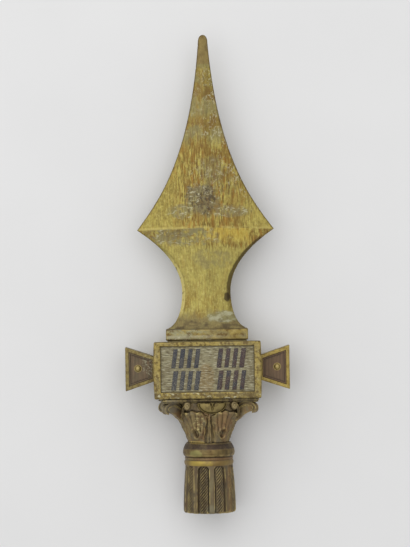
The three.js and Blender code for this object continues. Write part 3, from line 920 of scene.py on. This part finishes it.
def ear_mesh():
    """The right-hand ear, from inside the tablet's side to its outer end."""
    bm = bmesh.new()
    corners = [(EAR_ROOT, -1), (EAR_REACH, -1), (EAR_REACH, 1), (EAR_ROOT, 1)]
    verts = [bm.verts.new((x, EAR_MID + s * ear_half(x), -EAR_HALF_DEPTH)) for x, s in corners]
    raised = bmesh.ops.extrude_face_region(bm, geom=[bm.faces.new(verts)])["geom"]
    raised = [g for g in raised if isinstance(g, bmesh.types.BMVert)]
    bmesh.ops.translate(bm, vec=(0, 0, 2 * EAR_HALF_DEPTH), verts=raised)
    bmesh.ops.recalc_face_normals(bm, faces=bm.faces)
    round_edges(bm, bm.edges, EAR_CORNER, 3)
    field = front_face(bm)
    for border, drop in ((EAR_BORDER - EAR_CORNER, 0), (0.2, EAR_RECESS), (0.9, 0), (0.15, EAR_STEP)):
        bmesh.ops.inset_individual(bm, faces=[field], thickness=border, use_even_offset=True)
        bmesh.ops.translate(bm, vec=(0, 0, -drop), verts=field.verts)
    refine(bm, 0.6)
    for vert in bm.verts:
        if abs(vert.co.z - EAR_FLOOR) < 0.01:
            vert.co.z -= LINE_DEPTH * ripple(vert.co.x, LINE_PITCH)
    roughen(bm, 5, 0.06, 5)
    dome = bmesh.ops.create_uvsphere(bm, u_segments=28, v_segments=16, radius=BOSS_RADIUS)["verts"]
    bmesh.ops.scale(bm, vec=(1, 1, BOSS_RISE / BOSS_RADIUS), verts=dome)
    bmesh.ops.translate(bm, vec=(BOSS_X, BOSS_Y, EAR_FLOOR - 0.1), verts=dome)
    return bm


SIDES = {"left": -1, "right": 1}
for side, sx in SIDES.items():
    bm = ear_mesh()
    bmesh.ops.scale(bm, vec=(sx, 1, 1), verts=bm.verts)
    piece(f"ear_{side}", bm, ear_brass, rounds=8)

# %% [markdown]
# ## Socket finish
# The socket casting is darker than the rest: brown patina, near black in the hollows, olive brass where
# hands have rubbed the ridges, and two brighter rings. Its pieces share one material, so that the patina
# runs on from one to the next. The fleurons have a plainer, lighter one with the same wear.

# %% Wear of the casting
UNDER_TABLET = (75.6, 76.6)  # where the tablet's shade and dirt begin


def rubbed_casting(f, dull):
    """The last layers: bright where rubbed, dark in the hollows and in the line over the bead."""
    wear = f.attribute("wear")
    rubbed = wear.step(0.06, 0.4) * f.noise(3.2, 4, 0.65, (1, 1.8, 1), 63).step(0.4, 0.6)
    f.lay((178, 160, 104), rubbed * 0.8)
    dirt = wear.step(-0.07, -0.42)
    f.lay((48, 39, 30), dirt * 0.8)
    f.lay((62, 44, 28), abs(f.y - 38.6).step(0.6, 0.2) * 0.7)
    dull = dirt.most(dull)
    return f.done(0.5 + dull * 0.15, 0.82 - dull * 0.35, f.noise(1.3, 4, 0.65), 0.00015)


def fleuron_finish():
    f = Finish("fleuron_brass")
    cloud = f.noise(4, 4, 0.6, shift=61).step(0.4, 0.62)
    f.tone = cloud.mix(paint(146, 130, 82), paint(116, 101, 64))
    return rubbed_casting(f, f.y.step(*UNDER_TABLET) * 0.4)


fleuron_brass = fleuron_finish()

# %% Socket ground
f = Finish("socket_brass")
cloud = f.noise(7, 4, 0.6, (1, 1.5, 1), 51).step(0.35, 0.65)
f.tone = cloud.mix(paint(140, 123, 85), paint(120, 105, 77))
red = f.noise(5, 3, 0.6, (1, 1.6, 1), 53).step(0.5, 0.64)
f.lay((124, 92, 62), red * 0.55)
grey = f.noise(4, 4, 0.6, (1, 1.4, 1), 57).step(0.52, 0.66)
f.lay((112, 106, 88), grey * 0.55)
speck = f.noise(1.8, 4, 0.65, (1, 1.4, 1), 49)
f.lay((78, 64, 46), speck.step(0.53, 0.65) * 0.6)
shaft = f.y.step(33, 32.4)
f.lay((84, 74, 60), shaft * 0.6)
under_tablet = f.y.step(*UNDER_TABLET)
f.lay((74, 66, 53), under_tablet * 0.55)
f.note("ground")

# %% [markdown]
# Each ring has its own tone: a bead with a painted highlight left of its middle, a reddish band over it, the
# torus with a painted highlight along its lower edge and its dark upper slope, and a painted highlight on
# the neck above. The rings lie at fixed heights, so a band of heights is mask enough.

# %% Socket rings
patchy = f.noise(5, 4, 0.6, shift=59).step(0.36, 0.6)
bead = f.band(32.9, 36.2, 0.3)
# Painted highlight on the bead, left of its middle
painted_bead_highlight = bead * (f.x + patchy * 5).step(6, -2) * f.x.step(-15, -11)
f.lay((138, 115, 66), bead * 0.7)
f.lay((180, 158, 80), painted_bead_highlight * 0.85)
f.lay((126, 96, 66), f.band(36.5, 38.2, 0.2) * f.x.step(-12, 2) * 0.6)
torus = f.band(39.1, 44, 0.4)
f.tone = (torus * 0.7).mix(f.tone, patchy.mix(paint(80, 66, 38), paint(120, 102, 60)))
f.lay((152, 148, 92), f.spot(-9, 41.2, 4.5, 2.6, 0.4, 3) * 0.6)
# Painted highlight along the lower edge of the torus
f.lay((166, 146, 96), f.band(39.3, 40.4, 0.4) * patchy * 0.6)
slope = f.band(44.2, 47.8, 0.5)
f.lay((66, 53, 43), slope * (0.65 + 0.3 * patchy))
# Painted highlight on the neck, left of the middle
f.lay((190, 168, 100), f.spot(-8, 48.9, 6, 0.9, 0.2, 3) * 0.8)
f.note("rings")

# %% [markdown]
# The leaves have pale rubbed flecks on the left one and a reddish bloom on the right one. On the shaft
# there are worn lines on the left, a grey-green fillet in the middle and a brown one on the right. These
# can't follow from the shape, so each is put where the photograph shows it.

# %% Socket leaves and shaft
flecks = f.spot(-6.4, 62.5, 4.2, 6.5, 0.5, 4) * f.noise(1.6, 3, 0.6, (1.4, 0.8, 1), 65).step(0.5, 0.6)
f.lay((194, 180, 126), flecks * 0.7)
f.lay((126, 92, 64), f.spot(11, 63, 6, 7, 0.6, 4) * 0.45)
corner = abs(f.x).step(19, 23)
# Painted shade: darker from the leaf tops up under the abacus, less at the corners
f.lay((70, 59, 45), f.y.step(69, 71.5) * (0.5 - 0.4 * corner))
f.lay((138, 134, 118), corner * f.y.step(69, 71) * f.x.step(0, -10) * 0.4)
knobs = f.spot(-14.3, 74.6, 2.6, 3, 0.2, 2).most(f.spot(18.3, 74.6, 2.6, 3, 0.2, 2))
f.lay((158, 142, 102), knobs * 0.75)
lines = abs(f.x + 10.4).step(0.9, 0.4).most(abs(f.x + 14.2).step(0.8, 0.3)) * patchy
f.lay((166, 148, 98), lines * shaft * 0.7)
f.lay((122, 115, 84), abs(f.x - 1).step(2, 1.2) * shaft * (0.2 + 0.4 * patchy))
f.lay((148, 116, 74), abs(f.x - 13.9).step(1.7, 0.9) * shaft * (0.2 + 0.4 * patchy))
f.lay((140, 136, 112), f.spot(1.5, 2.5, 4, 3.5, 0.5, 3) * 0.35)
socket_brass = rubbed_casting(f, (shaft * 0.4).most(slope * 0.5).most(under_tablet * 0.4))

# %% [markdown]
# ## Socket body
# From the mouth to the bell, the casting is turned work with carving on it. Each leaf and cable could be a
# mesh of its own, but a casting has no seams. So its radius is worked out for every angle and height, and
# one spun surface takes it on. The shaft has flutes filled with round, twisted cables, and plain rings over
# them.

# %% Shaft and rings
SHAFT_TOP = 33
MOUTH_RADIUS, MOUTH_ROUND, SHAFT_DRAW = 18.3, 0.9, 1.8
FLUTES = 9
FLUTE_PITCH = 2 * math.pi / FLUTES
FLUTE_DEPTH = 1.7
CABLE_HALF, FILLET_FROM = 11.6, 14.2  # degrees from a flute's middle
TWIST_PITCH, TWIST_DEPTH, TWIST_SLANT = 2.2, 0.8, 1.1
# Heights and radii of the rings: the bead, the band, the torus and its slope
RING_PROFILE = (
    (32.4, 16.4), (33.0, 16.6), (33.6, 16.95), (34.8, 17.15), (35.9, 16.95), (36.3, 16.5), (36.6, 16.45),
    (37.0, 16.7), (38.0, 16.75), (38.4, 16.4), (38.8, 16.5), (39.1, 17.1), (40.0, 17.7), (41.4, 18.05),
    (43.0, 17.95), (44.0, 17.7), (45.0, 17.35), (46.0, 16.95), (47.0, 16.4), (47.9, 15.7), (48.4, 15.4),
)


def shaft_radius(angle, y):
    radius = MOUTH_RADIUS - SHAFT_DRAW * (y / SHAFT_TOP) ** 2 - MOUTH_ROUND * (1 - ramp(y, -0.8, 1.7))
    degrees = math.degrees((angle % FLUTE_PITCH) - FLUTE_PITCH / 2)
    out = abs(degrees)
    if out > FILLET_FROM:
        return radius
    # Each flute ends in a round top under the bead
    flute = 1 - ramp(y - SHAFT_TOP + 2.4 * (out / FILLET_FROM) ** 4, -0.9, -0.1)
    if out > CABLE_HALF:
        return radius - flute * FLUTE_DEPTH * ramp(out, FILLET_FROM, CABLE_HALF + 0.8)
    cable = math.sqrt(1 - (out / CABLE_HALF) ** 2)
    arc = math.radians(degrees) * radius
    twist = ripple(y - TWIST_SLANT * arc, TWIST_PITCH)
    return radius - flute * (FLUTE_DEPTH - (FLUTE_DEPTH - 0.2) * cable + TWIST_DEPTH * cable * twist)


print(f"{FLUTES} flutes, the widest ring {2 * max(r for y, r in RING_PROFILE):.1f} mm across")

# %% [markdown]
# ## Bell and leaves
# The bell flares from the round neck to a rounded oblong and draws in a little above its leaves. A leaf is
# measured across by u, -1 to 1 from edge to edge, and up by its height. It has scalloped edges, a midrib,
# folds beside it, a drilled eye with a raised lip at its foot, and a rounded top that rolls outwards.
# Tongues fill the gaps between the leaves, and reeds stand behind them.

# %% Bell and leaves
BELL_LOW, LEAF_TOP, BELL_TOP = 48.4, 68.4, 77.4
ABACUS_LOW = 76.4
# The neck's radius, how the bell widens all round, to the sides and to the front, and how it draws in on top
BELL_RADIUS, SPREAD, FLARE_X, FLARE_Z, THROAT = 13.5, 1.4, 14.2, 2.8, 0.3
LEAF_PITCH = 2 * math.pi / 6
LEAF_TURN = math.radians(-3)  # the leaves lag behind the rest of the casting
LEAF_SPREAD = math.radians(5.3)
LEAF_RADIUS = 17.5  # about where the leaves lie, to turn angles into millimetres
EYE_Y, EYE_HALF_WIDTH, EYE_HALF_HEIGHT, EYE_DEPTH = 54.8, 2.5, 2.9, 2.0


def bell_radius(angle, y):
    climb = (min(y, LEAF_TOP) - BELL_LOW) / (ABACUS_LOW - BELL_LOW)
    a = BELL_RADIUS + SPREAD * climb + FLARE_X * climb * climb
    b = BELL_RADIUS + SPREAD * climb + FLARE_Z * climb * climb
    n = lerp(2, 4, climb)
    full = (abs(math.sin(angle) / a) ** n + abs(math.cos(angle) / b) ** n) ** (-1 / n)
    return full - THROAT * ramp(y, LEAF_TOP, LEAF_TOP + 2)


def leaf_relief(angle, y):
    # The two leaves of the front, and of the back, stand a little apart
    angle -= LEAF_SPREAD * math.sin(2 * angle)
    from_middle = ((angle - LEAF_TURN) % LEAF_PITCH) - LEAF_PITCH / 2
    climb = (y - BELL_LOW) / (LEAF_TOP - BELL_LOW)
    span = lerp(0.66, 0.93, min(1, climb)) * (1 + 0.03 * math.sin(climb * 20))
    u = from_middle / (LEAF_PITCH / 2) / span
    out = abs(u)
    top = LEAF_TOP + 2.2 - 4.2 * u * u + 0.5 * math.cos(4 * math.pi * u)
    body = (1 - ramp(out, 0.85, 1.02)) * (1 - ramp(y, top - 0.2, top + 0.7))
    folds = 0.8 * abs(math.cos(3.1 * math.pi * out * (1.12 - 0.2 * climb))) ** 0.7 * ramp(climb, 0.1, 0.4)
    midrib = 0.5 * math.exp(-((u / 0.12) ** 2)) * ramp(y, 57.5, 59.5)
    roll = 0.8 * math.exp(-(((y - top) / 2.2) ** 2))
    away = math.hypot(from_middle * LEAF_RADIUS / EYE_HALF_WIDTH, (y - EYE_Y) / EYE_HALF_HEIGHT)
    eye = EYE_DEPTH * (1 - ramp(away, 0.55, 1.05))
    lip = 0.45 * math.exp(-(((away - 1.3) / 0.22) ** 2))
    # A tongue fills the gap between two leaves, wide at its foot, with a groove down its middle
    gap = (LEAF_PITCH / 2 - abs(from_middle)) * LEAF_RADIUS
    gap_half = (1 - span) * LEAF_PITCH / 2 * LEAF_RADIUS
    tongue = 1.1 * (1 - ramp(gap, 0.35 * gap_half, 0.85 * gap_half)) * (1 - ramp(climb, 0.8, 1))
    tongue -= 0.5 * math.exp(-((gap / 0.4) ** 2))
    # Behind the leaves, reeds run up to the scrolls
    reeds = 0.7 * abs(math.sin(7 * angle)) ** 0.6 * ramp(y, LEAF_TOP - 5, LEAF_TOP - 2)
    under = ramp(y, BELL_LOW - 1.2, BELL_LOW + 0.6)
    return under * (body * (1.0 + folds + midrib + roll) + (tongue + reeds) * (1 - body)) + body * lip - eye


bell_halves = [bell_radius(angle, LEAF_TOP) for angle in (math.pi / 2, 0)]
print(f"bell {2 * bell_halves[0]:.1f} by {2 * bell_halves[1]:.1f} mm under the scrolls")

# %% [markdown]
# ## Spinning the socket
# A profile is spun round the axis in fine steps: the bore, the mouth's rim and a plain outer wall. Each
# point of that wall is then moved in or out to the radius of its angle and height. The casting sits turned
# on the axis by a few degrees, and everything that belongs to it is turned in the same way.

# %% Spin the socket
STEPS, HEIGHTS = 360, 200
BORE_RADIUS, BORE_DEPTH = 13, 66
OUTER_WALL = 20  # the plain wall before it is moved
SOCKET_TURN = Matrix.Rotation(math.radians(6), 4, "Y")


def socket_radius(angle, y):
    if y < SHAFT_TOP - 0.4:
        return shaft_radius(angle, y)
    if y < BELL_LOW:
        return half_at(y, *zip(*RING_PROFILE))
    return bell_radius(angle, y) + leaf_relief(angle, y)


def socket_mesh():
    bm = bmesh.new()
    profile = [(0, BORE_DEPTH), (BORE_RADIUS, BORE_DEPTH), (BORE_RADIUS, 40), (BORE_RADIUS, 0.5)]
    profile += [(BORE_RADIUS + 0.5, 0)]
    profile += [(OUTER_WALL, y) for y in np.linspace(0, BELL_TOP, HEIGHTS)] + [(0, BELL_TOP)]
    verts = [bm.verts.new((x, y, 0)) for x, y in profile]
    edges = [bm.edges.new(pair) for pair in zip(verts, verts[1:])]
    bmesh.ops.spin(
        bm, geom=verts + edges, cent=(0, 0, 0), axis=(0, 1, 0), angle=2 * math.pi, steps=STEPS, use_merge=True
    )
    for vert in bm.verts:
        if math.hypot(vert.co.x, vert.co.z) > OUTER_WALL - 1:
            angle = math.atan2(vert.co.x, vert.co.z)
            radius = socket_radius(angle % (2 * math.pi), vert.co.y)
            vert.co.x, vert.co.z = math.sin(angle) * radius, math.cos(angle) * radius
    bmesh.ops.remove_doubles(bm, verts=bm.verts, dist=1e-4)
    roughen(bm, 4, 0.1, 9)
    return bm


def socket_piece(name, bm, place=Matrix(), finish=socket_brass, rounds=6):
    """A piece of the socket casting, put in its place and turned with the casting."""
    bmesh.ops.transform(bm, matrix=SOCKET_TURN @ place, verts=bm.verts)
    return piece(name, bm, finish, rounds)


socket = socket_piece("socket_body", socket_mesh(), rounds=14)
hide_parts("socket")

# %% [markdown]
# ## Abacus
# Over the bell lies the abacus, a moulded plate with hollow sides and cut corners. Its outline is the same
# at every height, only wider or narrower, so one ring of points is drawn for each step of the moulding and
# the rings are joined.

# %% Abacus
ABACUS_HALF = (33.8, 19)
ABACUS_CUT, ABACUS_HOLLOW = 2.4, 1.4
# Heights of the moulding and how far each stands out or in
ABACUS_STEPS = (
    (ABACUS_LOW, -1.4), (76.7, -0.7), (77.2, -0.3), (77.35, -0.8), (77.6, -0.8),
    (77.8, -0.1), (78.6, 0), (CAPITAL_HIGH - 0.05, -0.3),
)


def loft(bm, rings):
    """Joins closed rings of points one after the other, caps the ends and turns the faces outwards."""
    loops = []
    for ring in rings:
        verts = [bm.verts.new(point) for point in ring]
        loops.append([bm.edges.new(pair) for pair in zip(verts, verts[1:] + verts[:1])])
    for low, high in zip(loops, loops[1:]):
        bmesh.ops.bridge_loops(bm, edges=low + high)
    for loop in (loops[0], loops[-1]):
        bmesh.ops.edgeloop_fill(bm, edges=loop)
    bmesh.ops.recalc_face_normals(bm, faces=bm.faces)


def abacus_plan(grow):
    """Points round the plate's outline, hollow on each side and cut across each corner."""
    w, d = ABACUS_HALF[0] + grow, ABACUS_HALF[1] + grow
    corners = [(w - ABACUS_CUT, d), (w, d - ABACUS_CUT)]
    corners += [(x, -z) for x, z in reversed(corners)]
    corners += [(-x, z) for x, z in reversed(corners)]
    points = []
    for (x0, z0), (x1, z1) in zip(corners, corners[1:] + corners[:1]):
        long = math.hypot(x1 - x0, z1 - z0) > 2 * ABACUS_CUT
        steps = 12 if long else 2
        for i in range(steps):
            t = i / steps
            x, z = lerp(x0, x1, t), lerp(z0, z1, t)
            dip = ABACUS_HOLLOW * 4 * t * (1 - t) if long else 0
            along_x = abs(x1 - x0) > abs(z1 - z0)
            points.append((x, z - math.copysign(dip, z)) if along_x else (x - math.copysign(dip, x), z))
    return points


bm = bmesh.new()
loft(bm, [[(x, y, z) for x, z in abacus_plan(grow)] for y, grow in ABACUS_STEPS])
refine(bm, 1.0)
roughen(bm, 5, 0.08, 13)
socket_piece("abacus", bm)

# %% [markdown]
# ## Corner scrolls
# Under the abacus's corners four scrolls arch out of the bell and curl to a lip. A curve with a bevel would
# give a round wire, but these are flat bands with channelled sides, so a section is carried along a smooth
# line. A plainer leaf fills the arch below.

# %% Bands along a line
# Section of a band as shares of its half width and half thickness: its sides and its top are channelled
BAND_SECTION = (
    (-0.8, -1), (0.8, -1), (1, -0.8), (1, -0.45), (0.8, -0.3), (0.8, 0.3), (1, 0.45), (1, 0.8), (0.8, 1),
    (0.5, 1), (0.35, 0.75), (-0.35, 0.75), (-0.5, 1), (-0.8, 1), (-1, 0.8), (-1, 0.45), (-0.8, 0.3),
    (-0.8, -0.3), (-1, -0.45), (-1, -0.8),
)


def spline(points, count):
    """Evenly many points along a smooth line through the given ones."""
    p = [np.array(q, float) for q in points]
    p = [2 * p[0] - p[1], *p, 2 * p[-1] - p[-2]]
    made = []
    for i in range(count):
        k, t = divmod(i / (count - 1) * (len(points) - 1), 1)
        k = int(k) if k < len(points) - 1 else len(points) - 2
        t = t if i < count - 1 else 1
        a, b, c, d = p[k : k + 4]
        square, cube = 2 * a - 5 * b + 4 * c - d, 3 * b - a - 3 * c + d
        made.append(0.5 * (2 * b + (c - a) * t + square * t**2 + cube * t**3))
    return made


def band_rings(line, half_width, thin, thick):
    """Rings of a channelled band along a flat line, growing from thin to thick."""
    rings = []
    for i, at in enumerate(line):
        along = line[min(len(line) - 1, i + 1)] - line[max(0, i - 1)]
        along = along / np.linalg.norm(along)
        half = lerp(thin, thick, ramp(i / len(line), 0, 0.7))
        side = np.array((-along[1], along[0])) * half
        rings.append([(*(at + t * side), a * half_width) for a, t in BAND_SECTION])
    return rings


print(f"a band has {len(BAND_SECTION)} points round its section")

# %% Corner scrolls
SCROLL_PLACE = Vector((26.2, 74.5, 12.4))
# Outwards and upwards from there: the band's middle line, and the lower edge of the leaf in its arch
SCROLL_LINE = ((-9.2, -9.2), (-7.2, -2.9), (-2.3, 0.9), (3.0, 0.7), (5.4, -1.2), (5.3, -3.5), (3.6, -4.3))
SCROLL_UNDER = ((-8.2, -11.5), (-5.4, -9.6), (-2.6, -7.0), (0.8, -5.2), (3.3, -4.4))
SCROLL_RINGS = 44
FACES = {"back": -1, "front": 1}


def scroll_mesh():
    """A band that arches to a curled lip, and the plainer leaf that fills the arch under it."""
    bm = bmesh.new()
    line = spline(SCROLL_LINE, SCROLL_RINGS)
    loft(bm, band_rings(line, 2.8, 1.1, 1.6))
    under = spline(SCROLL_UNDER, SCROLL_RINGS)
    loft(bm, [[(*a, 1.9), (*a, -1.9), (*b, -1.6), (*b, 1.6)] for a, b in zip(line[:-2], under)])
    refine(bm, 0.8, 2)
    return bm


outwards = Matrix.Rotation(-math.atan2(SCROLL_PLACE.z, SCROLL_PLACE.x), 4, "Y")
for side, sx in SIDES.items():
    for face, sz in FACES.items():
        place = Matrix.Diagonal((sx, 1, sz, 1)) @ Matrix.Translation(SCROLL_PLACE) @ outwards
        socket_piece(f"scroll_{side}_{face}", scroll_mesh(), place)

# %% [markdown]
# ## Inner scrolls and fleurons
# Between the corner scrolls small inner scrolls lean on the bell: thin stems that end in a hanging knob. In
# the middle of the front and the back hangs a half-round fleuron with a nick in its top. Knobs and fleurons
# are balls, squeezed and grooved, because that is how they would be modelled in wax.

# %% Inner scrolls
HELIX_PLACE = Vector((16.4, 74.6, 16.4))
HELIX_LINE = ((3.0, -9.0), (2.9, -5.2), (2.4, -1.4), (0.6, 0.8))
STEM_LEAN = 0.6  # how far the stem draws in to the bell for each millimetre below the knob
KNOB = Vector((2.7, 3.3, 3.1))


def helix_mesh():
    """A thin stem that rises along the bell and ends in a hanging knob with a groove round it."""
    bm = bmesh.new()
    loft(bm, band_rings(spline(HELIX_LINE, 30), 2.8, 0.6, 0.9))
    refine(bm, 0.8, 2)
    for vert in bm.verts:
        vert.co.z += STEM_LEAN * min(0, vert.co.y)
    knob = bmesh.ops.create_uvsphere(bm, u_segments=40, v_segments=28, radius=1)["verts"]
    for vert in knob:
        around = math.atan2(vert.co.y, vert.co.x) / (2 * math.pi)
        from_middle = math.hypot(vert.co.x, vert.co.y)
        groove = math.exp(-(((from_middle - 0.45 - 0.25 * around) / 0.13) ** 2))
        vert.co *= 1 - 0.12 * groove
    bmesh.ops.scale(bm, vec=KNOB, verts=knob)
    return bm


for side, sx in SIDES.items():
    for face, sz in FACES.items():
        place = Matrix.Diagonal((sx, 1, sz, 1)) @ Matrix.Translation(HELIX_PLACE)
        socket_piece(f"inner_scroll_{side}_{face}", helix_mesh(), place)

# %% Fleurons
FLEURON = Vector((10.4, 7.4, 4.6))
FLEURON_ASIDE, FLEURON_SUNK, FLEURON_FRONT = 1.0, 0.4, 20.4
NICK_HALF, NICK_DROP = 1.1, 5.0


def fleuron_mesh():
    """The lower half of a flattened ball with a bead round its edge and a V cut in from its top."""
    bm = bmesh.new()
    bmesh.ops.create_uvsphere(bm, u_segments=96, v_segments=64, radius=1)
    bmesh.ops.scale(bm, vec=FLEURON, verts=bm.verts)
    every = bm.verts[:] + bm.edges[:] + bm.faces[:]
    cut = bmesh.ops.bisect_plane(bm, geom=every, plane_co=(0, 0, 0), plane_no=(0, 1, 0), clear_outer=True)
    bmesh.ops.edgeloop_fill(bm, edges=[g for g in cut["geom_cut"] if isinstance(g, bmesh.types.BMEdge)])
    for vert in bm.verts:
        if vert.co.z > 0:
            from_line = abs(abs(vert.co.x) - NICK_HALF * (1 + vert.co.y / NICK_DROP))
            nick = (1 - ramp(from_line, 0.2, 0.7)) * (1 - ramp(-vert.co.y, NICK_DROP - 0.5, NICK_DROP + 0.5))
            rim = (vert.co.x / FLEURON.x) ** 2 + (vert.co.y / FLEURON.y) ** 2
            bead = 0.8 * ramp(rim, 0.8, 0.88) - 0.7 * ramp(rim, 0.68, 0.76) * (1 - ramp(rim, 0.78, 0.84))
            vert.co.z += bead - nick
    return bm


for face, sz in FACES.items():
    at = Vector((FLEURON_ASIDE * sz, ABACUS_LOW - FLEURON_SUNK, FLEURON_FRONT - FLEURON.z))
    place = Matrix.Diagonal((1, 1, sz, 1)) @ Matrix.Translation(at)
    socket_piece(f"fleuron_{face}", fleuron_mesh(), place, fleuron_brass)
